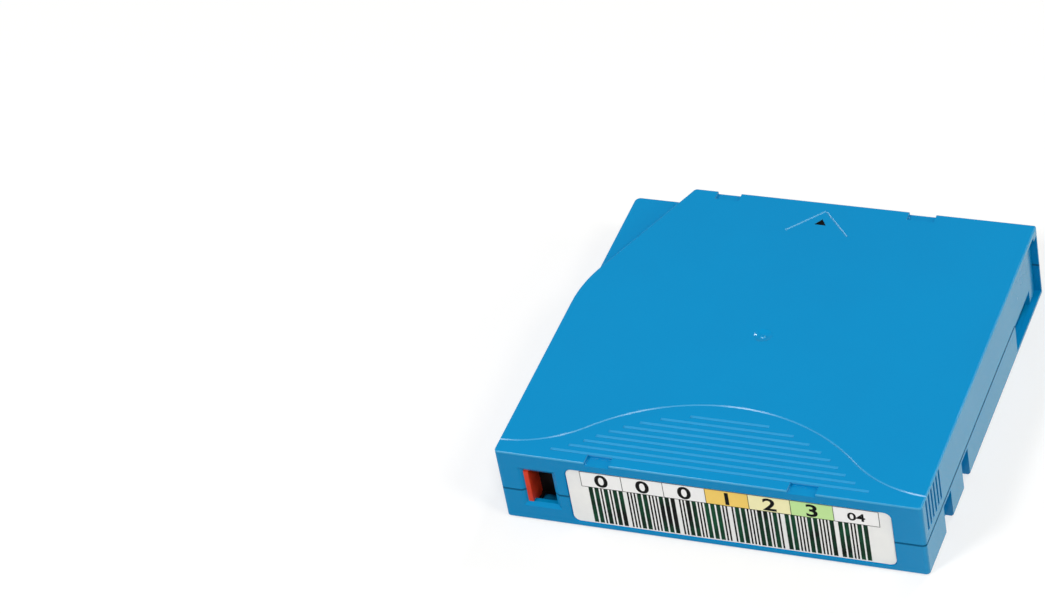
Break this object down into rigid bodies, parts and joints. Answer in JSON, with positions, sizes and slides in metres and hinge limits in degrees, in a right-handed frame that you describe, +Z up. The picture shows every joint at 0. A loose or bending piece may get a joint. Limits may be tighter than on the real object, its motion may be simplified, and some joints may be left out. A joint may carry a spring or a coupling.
{
  "type": "data tape cartridge",
  "caption": "Half-inch data tape cartridge: moulded two-part case with a lowered corner, sliding tape door, locked reel and write-protect switch.",
  "frame": {"origin": "centre of the case's base", "axes": "+X to the right seen from the label side, +Y the way the cartridge goes into a drive, +Z up"},
  "size_m": [0.1054, 0.102, 0.0215],
  "materials": {
    "case_blue": "fine moulded texture",
    "switch_red": "smooth moulded",
    "label_paper": "coated label paper",
    "zinc_steel": "zinc plated",
    "board_green": "solder mask",
    "chip_black": "moulded epoxy",
    "spring_steel": "drawn",
    "pin_steel": "ground",
    "clip_grey": "smooth moulded",
    "liner_black": "smooth moulded",
    "tape_film": "coated film",
    "reel_grey": "smooth moulded",
    "acetal_white": "smooth moulded"
  },
  "bodies": {
    "case": {"upper_shell": "case_blue", "lower_shell": "case_blue", "barcode_label": "label_paper", "case_screws": "zinc_steel", "memory_board": "board_green", "memory_chip": "chip_black", "door_spring": "spring_steel", "brake_spring": "spring_steel", "tape_leader": "tape_film", "leader_pin": "pin_steel", "leader_clip": "clip_grey", "pin_spring_lower": "spring_steel", "pin_spring_upper": "spring_steel", "switch_pocket": "liner_black"},
    "door": {"access_door": "case_blue"},
    "write_switch": {"write_protect_switch": "switch_red"},
    "reel": {"reel_hub": "reel_grey", "upper_flange": "reel_grey", "drive_plate": "zinc_steel", "tape_pack": "tape_film"},
    "release": {"release_spider": "acetal_white"},
    "brake": {"brake_button": "acetal_white"}
  },
  "joints": [
    {"name": "door_slide", "type": "slide", "parent": "case", "child": "door", "axis": [0, -1, 0], "range_m": [0, 0.018], "stiffness_N_per_m": 15, "springref_m": -0.015, "deforming": ["door_spring"]},
    {"name": "switch_slide", "type": "slide", "parent": "case", "child": "write_switch", "axis": [1, 0, 0], "range_m": [0, 0.0056]},
    {"name": "reel_spin", "type": "hinge", "parent": "case", "child": "reel", "pos_m": [-0.0016, 0, 0.01], "axis": [0, 0, 1], "continuous": true},
    {"name": "release_lift", "type": "slide", "parent": "reel", "child": "release", "axis": [0, 0, 1], "range_m": [0, 0.0015]},
    {"name": "brake_lift", "type": "slide", "parent": "case", "child": "brake", "axis": [0, 0, 1], "range_m": [0, 0.0015], "stiffness_N_per_m": 100, "springref_m": -0.008, "deforming": ["brake_spring"]}
  ],
  "couplings": [
    {"joint": "brake_lift", "follows": "release_lift", "ratio": 1}
  ]
}
